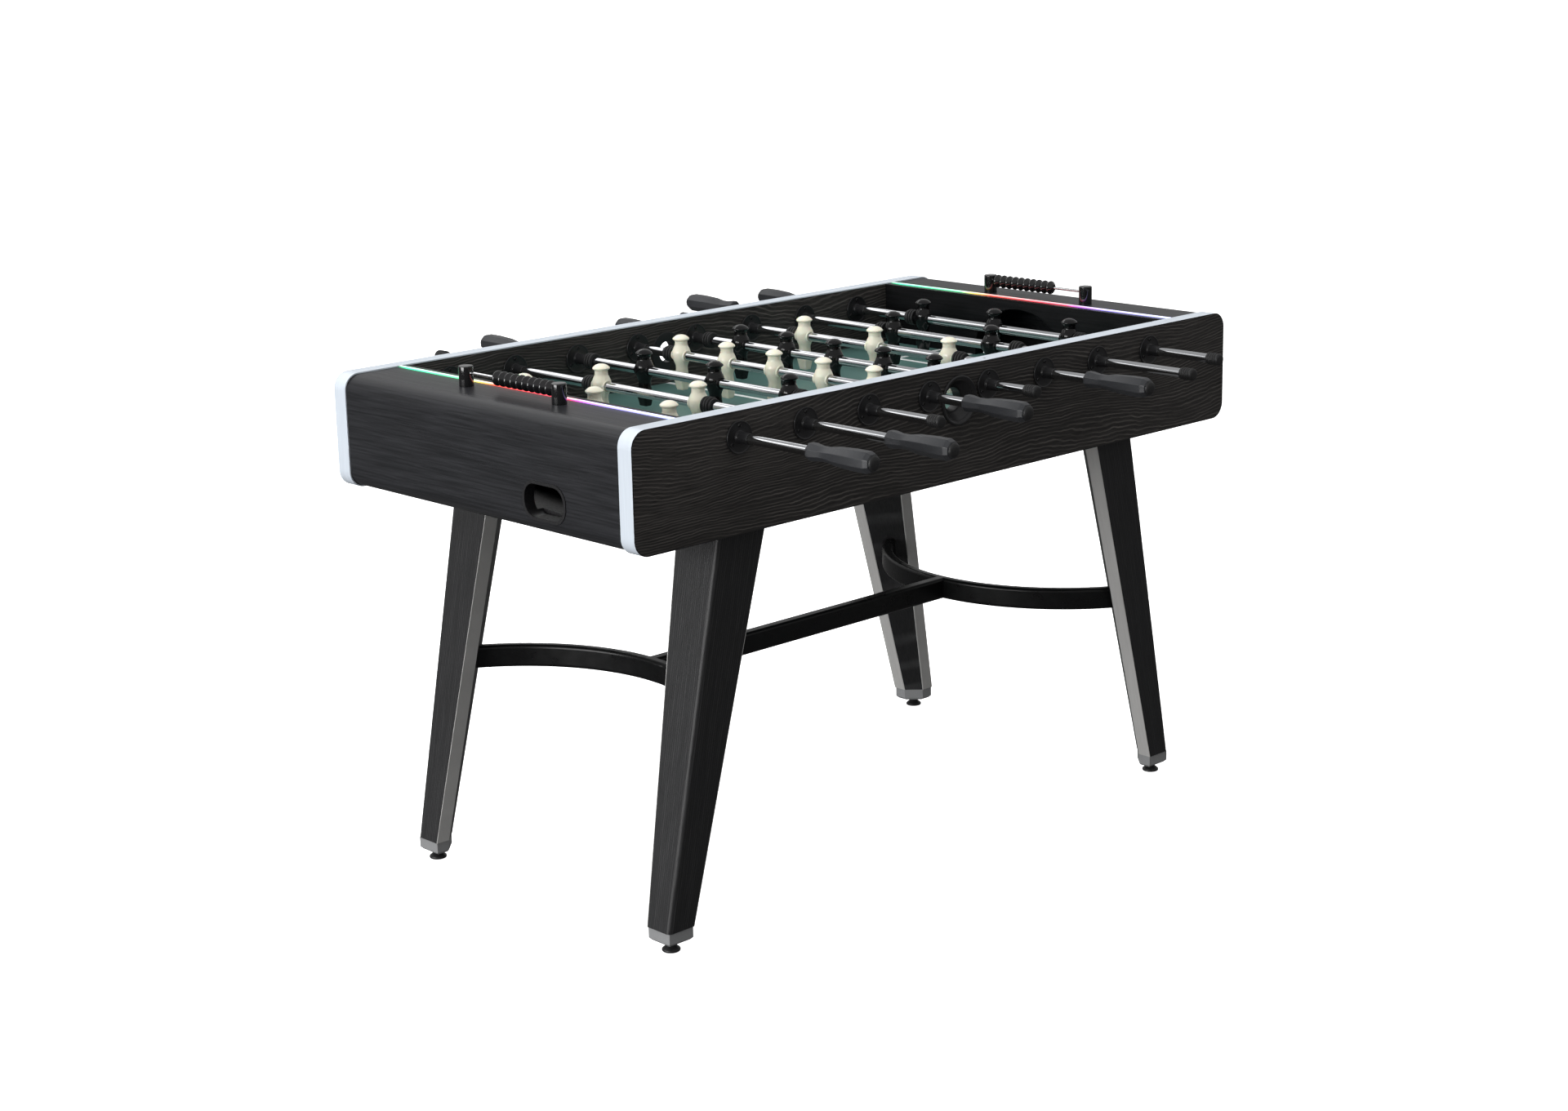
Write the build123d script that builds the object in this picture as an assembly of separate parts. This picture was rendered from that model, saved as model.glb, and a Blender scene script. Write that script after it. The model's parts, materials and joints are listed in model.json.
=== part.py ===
"""Eight-rod foosball table, in millimetres.

X runs along the table, Y across it and Z up. The origin is on the floor under the middle of the table.
The ends are called left (-X) and right (+X), the long sides near (-Y) and far (+Y).
"""
from build123d import *
import os
from math import atan2, cos, degrees, radians, sin, sqrt

# ---- cabinet
TABLE_LENGTH = 1422.0
TABLE_WIDTH = 759.0
TOP_Z = 868.0
PANEL_DEPTH = 194.0
PANEL_THICK = 31.0
PANEL_CORNER = 28.0
BAND_THICK = 2.0
HALF_LENGTH = TABLE_LENGTH / 2
OUTER_Y = TABLE_WIDTH / 2
INNER_Y = OUTER_Y - PANEL_THICK
BOTTOM_Z = TOP_Z - PANEL_DEPTH
FIT_GAP = 0.2

# ---- end panels, goal walls and lights
END_RECESS = 2.0
END_WALL = 12.0
END_CORNER = 30.0
END_LIP = 44.0
GOAL_WALL_X = 578.0
GOAL_WALL_THICK = 24.0
GOAL_HALF_WIDTH = 110.0
GOAL_SPRING = 16.0
GOAL_RISE = 98.0
LIGHT_WIDTH = 10.0
LIGHT_HEIGHT = 9.0
LIGHT_PROUD = 1.8
LIGHT_ROUND = 2.5
APRON_X = GOAL_WALL_X + GOAL_WALL_THICK
APRON_Z = TOP_Z - END_RECESS

# ---- playing surface and the boards under it
FIELD_Z = 752.0
FIELD_THICK = 15.0

# ---- ball return and ball entry
RETURN_Y = -167.0
RETURN_Z = 729.5
RETURN_WIDTH = 100.0
RETURN_HEIGHT = 58.0
RETURN_CORNER = 26.0
TROUGH_WALL = 3.0
TROUGH_FALL = 22.0
CUP_Z = 810.0
CUP_FLANGE_R = 42.0
CUP_BODY_R = 34.0
CUP_HOLE_R = 19.5

# ---- rods
ROD_PITCH = 141.4
ROD_Z = 826.5
ROD_R = 7.95
ROD_BORE_R = 5.5
BEARING_BORE_R = 8.02
FLANGE_R = 26.5
FLANGE_THICK = 3.0
SLEEVE_R = 10.5
SLEEVE_OUT = 26.0
SLEEVE_IN = 28.0
SCREW_R = 1.5
SCREW_HEAD_R = 3.2
SCREW_PCR = 19.0
SCREW_DEPTH = 9.0
BUMPER_LENGTH = 22.0
BUMPER_BORE_R = 8.03
BUMPER_GAP = 0.5
MAN_HALF_LENGTH = 17.0
GRIP_LENGTH = 138.0
GRIP_BORE_DEPTH = 118.0
CAP_LENGTH = 27.0
CAP_BORE_DEPTH = 20.0
MEN_SPACING = {2: 244.0, 3: 182.0, 5: 120.5}
GRIP_START = {2: 553.0, 3: 497.0, 5: 447.0}

# each rod from the left: men on it, side that its grip is on, resting slide along Y, gap by its near bumper
RODS = [
    (3, -1, -38.0, 0.0),
    (2, -1, -9.0, 0.0),
    (3, 1, -16.0, 0.0),
    (5, -1, -13.0, 0.0),
    (5, 1, -17.0, 0.0),
    (3, -1, 21.0, 0.0),
    (2, 1, -11.0, 35.0),
    (3, 1, -14.0, 0.0),
]
PARKED_RODS = (3, 5)

# ---- score counters
POST_X = 632.0
POST_Y = 118.5
POST_R = 12.2
POST_HEIGHT = 33.5
WIRE_Z = APRON_Z + 22.5
WIRE_R = 2.5
WIRE_SEAT = 8.0
BEAD_COUNT = 10
BEAD_LENGTH = 14.7
BEAD_R = 11.5
BEAD_END_R = 7.0
BEAD_BORE_R = 2.58

# ---- legs, as the corner that stands furthest out, at the cabinet's bottom edge and at the foot
LEG_TOP_Z = 690.0
LEG_FOOT_Z = 38.0
LEG_REF_Z = BOTTOM_Z
LEG_CORNER_TOP = (501.0, 337.0)
LEG_CORNER_FOOT = (627.0, 331.0)
LEG_WIDTH_TOP = 99.0
LEG_WIDTH_FOOT = 53.5
LEG_EDGE_TOP = 28.0
LEG_EDGE_FOOT = 26.0
LEG_ROUND = 7.0
STRIP_THICK = 1.2
CAP_BOTTOM_Z = 16.0
CAP_INSET = 1.5
LEVELLER_X = 604.0
LEVELLER_Y = 308.0
LEVELLER_STEM_R = 5.0
LEVELLER_HOLE_R = 5.08
LEVELLER_TOP_Z = 62.0
LEVELLER_PAD_R = 17.0

# ---- stretcher
STRETCH_Z = 352.0
STRETCH_HEIGHT = 39.5
ARC_CENTRE_X = 700.0
ARC_RADIUS = 338.0
ARC_THICK = 20.0
BEAM_THICK = 24.0
STRETCH_ROUND = 6.0
DOWEL_R = 4.0
DOWEL_LENGTH = 60.0

# ---- blocks that the legs bolt to
BLOCK_X = (396.0, 516.0)
BLOCK_DEPTH = 115.0
BLOCK_BOLTS = ((430.0, 318.0), (478.0, 318.0))
BLOCK_BOLT_Z = (650.0, 735.0)


def save(name, solids):
    """Write one node, made of one or more separate solids."""
    export_step(Compound(label=name, children=list(solids)), f"parts/{name}.step")


def across(radius, y_from, y_to, x=0.0, z=0.0):
    """A cylinder along Y."""
    length = abs(y_to - y_from)
    return Pos(x, (y_from + y_to) / 2, z) * Rot(90, 0, 0) * Cylinder(radius, length)


def upright(radius, z_from, z_to, x=0.0, y=0.0):
    """A cylinder along Z."""
    return Pos(x, y, (z_from + z_to) / 2) * Cylinder(radius, z_to - z_from)


def block(x, y, z):
    """A box between three pairs of limits."""
    size = [abs(b - a) for a, b in (x, y, z)]
    centre = [(a + b) / 2 for a, b in (x, y, z)]
    return Pos(*centre) * Box(*size)


def turned(profile):
    """A solid of revolution about Z from (radius, z) points."""
    face = make_face(Plane.XZ * Polyline(*profile, close=True))
    return revolve(face, Axis.Z)


def turned_across(profile, direction=1):
    """A solid of revolution about Y from (radius, distance along Y) points."""
    return Rot(-90 * direction, 0, 0) * turned(profile)


def mirrored_ends(solid):
    """A piece at the left end and the same piece turned half round for the right end."""
    return [solid, Rot(0, 0, 180) * solid]


def rod_x(number):
    """Where a rod crosses the table, counted from the left."""
    return (number - 4.5) * ROD_PITCH


def man_places(count, slide):
    """The places of a rod's men along Y."""
    spacing = MEN_SPACING[count]
    return [slide + (i - (count - 1) / 2) * spacing for i in range(count)]


# ---- cabinet ------------------------------------------------------------------------------------
def panel_slab(inset):
    """The side panel's outline, drawn in by an inset, through the panel's whole thickness."""
    outline = RectangleRounded(
        TABLE_LENGTH - 2 * inset, PANEL_DEPTH - 2 * inset, PANEL_CORNER - inset
    )
    slab = extrude(outline, amount=PANEL_THICK / 2, both=True)
    return Pos(0, 0, BOTTOM_Z + PANEL_DEPTH / 2) * Rot(90, 0, 0) * slab


def screw_places(x):
    """The three screws round a bearing flange, as (x, z)."""
    angles = [radians(a) for a in (90, 210, 330)]
    return [(x + SCREW_PCR * cos(a), ROD_Z + SCREW_PCR * sin(a)) for a in angles]


def side_panel(side):
    """A long side panel with its rod holes, ball entry hole and screw holes."""
    middle = side * (OUTER_Y - PANEL_THICK / 2)
    panel = Pos(0, middle, 0) * panel_slab(BAND_THICK)
    inside, outside = side * INNER_Y, side * OUTER_Y
    holes = [across(CUP_BODY_R, inside - side, outside + side, 0, CUP_Z)]
    for number in range(1, 9):
        x = rod_x(number)
        holes.append(across(SLEEVE_R, inside - side, outside + side, x, ROD_Z))
        for sx, sz in screw_places(x):
            holes.append(across(SCREW_R, outside + side, outside - side * SCREW_DEPTH, sx, sz))
            holes.append(across(SCREW_R, inside - side, inside + side * SCREW_DEPTH, sx, sz))
    return panel - holes


def edge_band(side):
    """The pale band round a side panel's edge."""
    band = panel_slab(0) - panel_slab(BAND_THICK)
    return Pos(0, side * (OUTER_Y - PANEL_THICK / 2), 0) * band


def return_window(depth, inset, x):
    """The rounded ball-return opening as a solid along X."""
    outline = RectangleRounded(
        RETURN_WIDTH - 2 * inset, RETURN_HEIGHT - 2 * inset, RETURN_CORNER - inset
    )
    return Pos(x, RETURN_Y, RETURN_Z) * extrude(Plane.YZ * outline, amount=depth / 2, both=True)


def end_panel():
    """The left end: top apron, end face and bottom lip in one bent section."""
    outer_x = -(HALF_LENGTH - END_RECESS)
    width = 2 * (INNER_Y - FIT_GAP)
    low = BOTTOM_Z + END_RECESS
    shell = block((outer_x, -APRON_X), (-width / 2, width / 2), (low, APRON_Z))
    outer_edges = shell.edges().filter_by(Axis.Y).group_by(Axis.X)[0]
    shell = fillet(outer_edges, END_CORNER)
    core = block(
        (outer_x + END_WALL, -APRON_X + END_WALL),
        (-width / 2 - 1, width / 2 + 1),
        (low + END_WALL, APRON_Z - END_WALL),
    )
    core_edges = core.edges().filter_by(Axis.Y).group_by(Axis.X)[0]
    core = fillet(core_edges, END_CORNER - END_WALL)
    wide = (-width / 2 - 1, width / 2 + 1)
    under = block((outer_x + END_LIP, -APRON_X + 1), wide, (low - 1, low + 2 * END_WALL))
    return shell - core - under - return_window(6 * END_WALL, 0, outer_x)


def goal_wall():
    """The left inner end wall with its arched goal mouth and the rebate that the light strip lies in."""
    width = INNER_Y - FIT_GAP
    wall = block((-APRON_X + FIT_GAP, -GOAL_WALL_X), (-width, width), (FIELD_Z, APRON_Z))
    rebate_x = (-APRON_X - 1, -APRON_X + FIT_GAP + LIGHT_WIDTH)
    rebate = block(rebate_x, (-width - 1, width + 1), (APRON_Z - LIGHT_HEIGHT, APRON_Z + 1))
    spring = FIELD_Z + GOAL_SPRING
    below = Pos(0, -GOAL_SPRING) * Rectangle(2 * GOAL_HALF_WIDTH, 2 * GOAL_SPRING)
    arch = Ellipse(GOAL_HALF_WIDTH, GOAL_RISE - GOAL_SPRING) + below
    mouth = Pos(-GOAL_WALL_X, 0, spring) * extrude(Plane.YZ * arch, amount=2 * GOAL_WALL_THICK, both=True)
    return wall - rebate - mouth


def light_strip():
    """The left light strip, which lies in the goal wall's rebate."""
    width = INNER_Y - FIT_GAP
    x = (-APRON_X + FIT_GAP, -APRON_X + FIT_GAP + LIGHT_WIDTH)
    strip = block(x, (-width, width), (APRON_Z - LIGHT_HEIGHT, APRON_Z + LIGHT_PROUD))
    top_edges = strip.edges().filter_by(Axis.Y).group_by(Axis.Z)[-1]
    return fillet(top_edges, LIGHT_ROUND)


def playfield():
    """The flat board that the ball rolls on."""
    x, y = APRON_X - FIT_GAP, INNER_Y - FIT_GAP
    return block((-x, x), (-y, y), (FIELD_Z - FIELD_THICK, FIELD_Z))


def ball_trough():
    """The left tray behind the goal mouth, which falls towards the ball-return opening."""
    inner_face = -(HALF_LENGTH - END_RECESS - END_WALL)
    x = (inner_face + TROUGH_WALL, -APRON_X - 0.5)
    y = (RETURN_Y - RETURN_WIDTH / 2 - 2 * TROUGH_WALL, GOAL_HALF_WIDTH + 2 * TROUGH_WALL)
    low = RETURN_Z - RETURN_HEIGHT / 2 - TROUGH_WALL
    tray = block(x, y, (low, FIELD_Z - 1))
    inside = Polyline(
        (y[0] + TROUGH_WALL, FIELD_Z),
        (y[0] + TROUGH_WALL, low + 2 * TROUGH_WALL),
        (y[1] - TROUGH_WALL, low + 2 * TROUGH_WALL + TROUGH_FALL),
        (y[1] - TROUGH_WALL, FIELD_Z),
        close=True,
    )
    length = x[1] - x[0] - 2 * TROUGH_WALL
    section = make_face(Plane.YZ * inside)
    space = Pos((x[0] + x[1]) / 2, 0, 0) * extrude(section, amount=length / 2, both=True)
    outside = -(HALF_LENGTH - END_RECESS) - TROUGH_WALL / 2
    collar_length = x[0] + 1 - outside
    collar = return_window(collar_length, FIT_GAP, outside + collar_length / 2)
    lip = return_window(TROUGH_WALL / 2, -2.5, outside + TROUGH_WALL / 4)
    opening = return_window(60, 2.5, outside)
    return tray - space + collar + lip - opening


def ball_entry_cup(side):
    """The dished cup in a side panel that a ball is served through."""
    seat = INNER_Y - OUTER_Y
    dish = 12.0
    profile = [
        (CUP_HOLE_R, seat - 2),
        (CUP_HOLE_R + 3, seat - 2),
        (CUP_HOLE_R + 3, -dish - 3),
        (CUP_BODY_R - FIT_GAP, -7),
        (CUP_BODY_R - FIT_GAP, 0),
        (CUP_FLANGE_R, 0),
        (CUP_FLANGE_R, 1.5),
        (CUP_FLANGE_R - 2.5, 3.5),
        (CUP_BODY_R - 1, 2),
        (CUP_BODY_R - 6, -4),
        (CUP_HOLE_R + 2, -dish + 1),
        (CUP_HOLE_R, -dish - 2),
    ]
    return Pos(0, side * OUTER_Y, CUP_Z) * turned_across(profile, side)


# ---- rods and what is on them -------------------------------------------------------------------
def bearing(x, side, outer):
    """One half of a rod bearing: a screwed flange with a sleeve on each side of it."""
    face = OUTER_Y if outer else INNER_Y
    away = 1 if outer else -1
    reach = SLEEVE_OUT if outer else SLEEVE_IN
    half = (PANEL_THICK - FIT_GAP) / 2
    profile = [
        (BEARING_BORE_R, -half),
        (SLEEVE_R, -half),
        (SLEEVE_R, 0),
        (FLANGE_R, 0),
        (FLANGE_R, FLANGE_THICK - 1.2),
        (FLANGE_R - 1.2, FLANGE_THICK),
        (SLEEVE_R + 2, FLANGE_THICK),
        (SLEEVE_R, FLANGE_THICK + 2),
        (SLEEVE_R - 0.6, reach - 0.8),
        (SLEEVE_R - 1.4, reach),
        (BEARING_BORE_R, reach),
    ]
    body = Pos(x, side * face, ROD_Z) * turned_across(profile, side * away)
    low, high = side * (face - away), side * (face + away * (FLANGE_THICK + 1))
    holes = [across(SCREW_R, low, high, sx, sz) for sx, sz in screw_places(x)]
    return body - holes


def screw(x, z, side, outer):
    """A pan-head screw through a bearing flange into the panel."""
    face = OUTER_Y if outer else INNER_Y
    away = 1 if outer else -1
    seat = side * (face + away * FLANGE_THICK)
    tip = side * (face - away * (SCREW_DEPTH - 0.5))
    profile = [(0, 0), (SCREW_HEAD_R, 0), (SCREW_HEAD_R - 0.8, 1.3), (0, 1.3)]
    head = Pos(x, seat, z) * turned_across(profile, side * away)
    return head + across(SCREW_R, tip, seat, x, z)


def rod_shaft(number, men, grip_side, slide):
    """A hollow rod, which reaches into its grip and its end cap."""
    start = GRIP_START[men]
    grip_end = slide + grip_side * (start + GRIP_BORE_DEPTH)
    cap_end = slide - grip_side * (start + CAP_BORE_DEPTH)
    x = rod_x(number)
    bore = across(ROD_BORE_R, grip_end + grip_side, cap_end - grip_side, x, ROD_Z)
    return across(ROD_R, grip_end, cap_end, x, ROD_Z) - bore


def man_figure():
    """One playing figure about its rod hole, standing along Z."""
    side_points = [
        (10.5, -44), (11.0, -32), (11.4, -20), (14.2, -10),
        (16.6, 2), (16.6, 9), (13.2, 16.5), (11.3, 19.5),
    ]
    outline = (
        Line((0, -44), (10.5, -44)),
        Spline(*side_points),
        Line((11.3, 19.5), (11.6, 26.5)),
        Line((11.6, 26.5), (14.9, 29)),
        Line((14.9, 29), (14.9, 30.5)),
        Spline((14.9, 30.5), (12.0, 34.2), (6.5, 36.9), (0, 37.6), tangents=((-0.2, 1), (-1, 0))),
        Line((0, 37.6), (0, -44)),
    )
    body = revolve(make_face(Plane.XZ * Curve(outline)), Axis.Z)
    foot = foot_block()
    hub = across(10.6, -MAN_HALF_LENGTH, MAN_HALF_LENGTH)
    return body + foot + hub - across(ROD_R, -MAN_HALF_LENGTH - 5, MAN_HALF_LENGTH + 5)


def foot_block():
    """A figure's foot, which flares from the leg and narrows to the toe."""
    levels = ((-34.0, 17.0, 17.0), (-43.0, 22.5, 21.5), (-62.0, 13.0, 17.5))
    faces = [Pos(0, 0, z) * RectangleRounded(dx, dy, 2.5) for z, dx, dy in levels]
    upper = loft(faces[:2])
    lower = loft(faces[1:])
    return upper + lower


def bumper():
    """A ribbed rubber bumper along +Y from its inner end."""
    profile = [(BUMPER_BORE_R, 0), (13.6, 0)]
    rib, groove = 4.4, 2.4
    y = 0.0
    for _ in range(3):
        profile += [(14.6, y + 0.8), (14.6, y + rib - 0.8), (13.6, y + rib)]
        y += rib
        profile += [(11.4, y + 0.4), (11.4, y + groove - 0.4)]
        y += groove
    profile += [(12.4, y), (12.4, BUMPER_LENGTH), (BUMPER_BORE_R, BUMPER_LENGTH)]
    return turned_across(profile)


def bumper_at(number, y, direction):
    """A bumper whose ribbed end is at y and which runs on in a direction along Y."""
    piece = bumper() if direction > 0 else Rot(0, 0, 180) * bumper()
    return Pos(rod_x(number), y, ROD_Z) * piece


def parked_y():
    """Where the inner end of a bumper is when it rests against its bearing's sleeve."""
    return INNER_Y - SLEEVE_IN - BUMPER_LENGTH - BUMPER_GAP


def rod_bumpers(number, men, slide, near_gap):
    """The bumpers that travel with a rod."""
    places = man_places(men, slide)
    near = bumper_at(number, places[0] - MAN_HALF_LENGTH - BUMPER_GAP - near_gap, -1)
    if number in PARKED_RODS:
        return [near]
    return [near, bumper_at(number, places[-1] + MAN_HALF_LENGTH + BUMPER_GAP, 1)]


def grip():
    """A faceted grip along +Y from its inner end, with a domed end and a blind hole for the rod."""
    stations = (
        (0, 10.5), (3, 14.2), (13, 14.0), (38, 11.6), (66, 15.4), (98, 17.2), (122, 16.8), (128, 14.6),
    )
    faces = [Pos(0, 0, y) * RegularPolygon(r, 8, rotation=22.5) for y, r in stations]
    body = loft(faces, ruled=True)
    dome = [(0, 127), (13.4, 127), (13.4, 131), (10.8, 135.5), (6.0, GRIP_LENGTH), (0, GRIP_LENGTH)]
    piece = body + turned(dome) - upright(ROD_R, -1, GRIP_BORE_DEPTH)
    return Rot(-90, 0, 0) * piece


def end_cap():
    """The ribbed cap on a rod's other end, along +Y from its inner end."""
    profile = [(0, CAP_BORE_DEPTH), (ROD_R, CAP_BORE_DEPTH), (ROD_R, 0), (9.6, 0)]
    for i in range(4):
        y = 2.0 + 4.6 * i
        profile += [(9.6, y), (10.6, y + 0.8), (10.6, y + 3.0), (9.6, y + 3.8)]
    profile += [(10.4, 21.5), (10.4, 24.0), (8.2, CAP_LENGTH), (0, CAP_LENGTH)]
    return turned_across(profile)


def rod_grip(number, men, grip_side, slide):
    """A rod's grip and the cap on its other end."""
    start = GRIP_START[men]
    pieces = []
    for piece, side in ((grip(), grip_side), (end_cap(), -grip_side)):
        facing = piece if side > 0 else Rot(0, 0, 180) * piece
        pieces.append(Pos(rod_x(number), slide + side * start, ROD_Z) * facing)
    return pieces


# ---- score counters -----------------------------------------------------------------------------
def score_post(y):
    """A score post on the left apron."""
    side = 1 if y > 0 else -1
    profile = [
        (0, 0), (POST_R, 0), (POST_R, POST_HEIGHT - 1.5), (POST_R - 1.5, POST_HEIGHT), (0, POST_HEIGHT),
    ]
    seat = across(WIRE_R, y - side * (POST_R + 1), y - side * (POST_R - WIRE_SEAT), -POST_X, WIRE_Z)
    return Pos(-POST_X, y, APRON_Z) * turned(profile) - seat


def score_wire():
    """The wire between the two left posts."""
    reach = POST_Y - POST_R + WIRE_SEAT
    return across(WIRE_R, -reach, reach, -POST_X, WIRE_Z)


def score_beads():
    """The left counter's beads, pushed against the near post."""
    half = BEAD_LENGTH / 2 - 0.05
    profile = [
        (BEAD_BORE_R, -half), (BEAD_END_R, -half), (BEAD_R, -1.6), (BEAD_R, 1.6), (BEAD_END_R, half),
        (BEAD_BORE_R, half),
    ]
    first = -POST_Y + POST_R + 0.4 + BEAD_LENGTH / 2
    bead = turned_across(profile)
    return [Pos(-POST_X, first + i * BEAD_LENGTH, WIRE_Z) * bead for i in range(BEAD_COUNT)]


# ---- legs and stretcher -------------------------------------------------------------------------
def leg_shape(z):
    """The leg's outer corner, width and edge thickness at a height."""
    t = (LEG_REF_Z - z) / (LEG_REF_Z - LEG_FOOT_Z)
    x = LEG_CORNER_TOP[0] + t * (LEG_CORNER_FOOT[0] - LEG_CORNER_TOP[0])
    y = LEG_CORNER_TOP[1] + t * (LEG_CORNER_FOOT[1] - LEG_CORNER_TOP[1])
    width = LEG_WIDTH_TOP + t * (LEG_WIDTH_FOOT - LEG_WIDTH_TOP)
    edge = LEG_EDGE_TOP + t * (LEG_EDGE_FOOT - LEG_EDGE_TOP)
    return x, y, width, edge


def leg_section(z, inset=0.0, height=None):
    """The leg's five-sided section at a height, drawn in all round by an inset."""
    x, y, width, edge = leg_shape(z)
    x, y, width, edge = x - inset, y - inset, width - 2 * inset, edge - inset
    points = [(x, y), (x - width, y), (x - width, y - edge), (x - edge, y - width), (x, y - width)]
    return Pos(0, 0, z if height is None else height) * make_face(Polyline(*points, close=True))


def whole_leg():
    """The leg of the far right corner with its edge strips still on it."""
    leg = loft([leg_section(LEG_FOOT_Z), leg_section(LEG_TOP_Z)], ruled=True)
    long_edges = leg.edges().filter_by(lambda e: e.length > LEG_REF_Z / 2)
    corner = long_edges.sort_by(lambda e: e.center().X + e.center().Y)[-1]
    return fillet(corner, LEG_ROUND)


def edge_cutter(z):
    """The part of the leg's section that its two edge strips fill."""
    x, y, width, edge = leg_shape(z)
    beyond = 5.0
    limits = [
        ((x - width - beyond, x - width + STRIP_THICK), (y - edge - STRIP_THICK, y + beyond)),
        ((x - edge - STRIP_THICK, x + beyond), (y - width - beyond, y - width + STRIP_THICK)),
    ]
    faces = []
    for (x_low, x_high), (y_low, y_high) in limits:
        corners = [(x_low, y_low), (x_high, y_low), (x_high, y_high), (x_low, y_high)]
        faces.append(Pos(0, 0, z) * make_face(Polyline(*corners, close=True)))
    return faces


def leg_and_strips():
    """The far right leg and its two edge strips, fitted to one another."""
    whole = whole_leg()
    low, high = edge_cutter(LEG_FOOT_Z), edge_cutter(LEG_TOP_Z)
    cutters = [loft([a, b], ruled=True) for a, b in zip(low, high)]
    strips = [whole & cutter for cutter in cutters]
    return whole - cutters, strips


def foot_cap():
    """The pale cap under a leg, with a bevelled bottom."""
    bevel = 4.0
    bottom = leg_section(LEG_FOOT_Z, CAP_INSET + bevel, CAP_BOTTOM_Z)
    bevel_top = leg_section(LEG_FOOT_Z, CAP_INSET, CAP_BOTTOM_Z + bevel)
    top = leg_section(LEG_FOOT_Z, CAP_INSET, LEG_FOOT_Z)
    cap = loft([bevel_top, top], ruled=True) + loft([bottom, bevel_top], ruled=True)
    return cap - upright(LEVELLER_HOLE_R, 0, LEG_FOOT_Z + 1, LEVELLER_X, LEVELLER_Y)


def leveller():
    """A screw foot: round pad, lock nut and threaded stem."""
    nut_top = CAP_BOTTOM_Z - 0.3
    pad = turned([
        (0, 0), (LEVELLER_PAD_R - 1, 0), (LEVELLER_PAD_R, 1), (LEVELLER_PAD_R, 4), (8.5, 10), (0, 10),
    ])
    nut = Pos(0, 0, 9.5) * extrude(RegularPolygon(8.5, 6), amount=nut_top - 9.5)
    stem = upright(LEVELLER_STEM_R, 9, LEVELLER_TOP_Z)
    return Pos(LEVELLER_X, LEVELLER_Y, 0) * (pad + nut + stem)


def four_corners(solid):
    """A far right piece repeated at the far left, near left and near right corners."""
    far_left = mirror(solid, Plane.YZ)
    return [solid, far_left, mirror(far_left, Plane.XZ), mirror(solid, Plane.XZ)]


def stretcher_arc(legs):
    """The curved stretcher between the two right legs."""
    section = RectangleRounded(ARC_THICK, STRETCH_HEIGHT, STRETCH_ROUND)
    sweep_angle = 2 * degrees(atan2(300, sqrt(ARC_RADIUS**2 - 300**2)))
    start = Pos(ARC_CENTRE_X, 0, STRETCH_Z) * Rot(0, 0, 180 - sweep_angle / 2)
    ring = revolve(Plane.XZ * Pos(ARC_RADIUS, 0) * section, Axis.Z, sweep_angle)
    return start * ring - legs


def stretcher_beam(arcs):
    """The straight stretcher between the two curved ones."""
    reach = ARC_CENTRE_X - ARC_RADIUS
    section = RectangleRounded(BEAM_THICK, STRETCH_HEIGHT, STRETCH_ROUND)
    beam = Pos(0, 0, STRETCH_Z) * extrude(Plane.YZ * section, amount=reach, both=True)
    return beam - arcs


def dowel(x, y, direction):
    """A dowel screw centred on a joint, along a level direction."""
    turn = degrees(atan2(direction[1], direction[0]))
    return Pos(x, y, STRETCH_Z) * Rot(0, 0, turn) * Rot(0, 90, 0) * Cylinder(DOWEL_R, DOWEL_LENGTH)


def frame_bolts():
    """Leg bolts, and the dowel screws of the stretcher's joints."""
    bolts = []
    for x, y in BLOCK_BOLTS:
        bolts += four_corners(upright(DOWEL_R, *BLOCK_BOLT_Z, x, y))
    x, y, width, edge = leg_shape(STRETCH_Z)
    joint_y = y - (width + edge) / 2
    joint_x = ARC_CENTRE_X - sqrt(ARC_RADIUS**2 - joint_y**2)
    bolts += four_corners(dowel(joint_x, joint_y, (joint_y, ARC_CENTRE_X - joint_x)))
    reach = ARC_CENTRE_X - ARC_RADIUS - ARC_THICK / 2
    centre = dowel(reach - 12, 0, (1, 0))
    return bolts + [centre, mirror(centre, Plane.YZ)]


def leg_block():
    """The far right block, glued under the playing surface and to the side panel."""
    y = (INNER_Y - FIT_GAP - BLOCK_DEPTH, INNER_Y - FIT_GAP)
    return block(BLOCK_X, y, (LEG_TOP_Z, FIELD_Z - FIELD_THICK))


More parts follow.
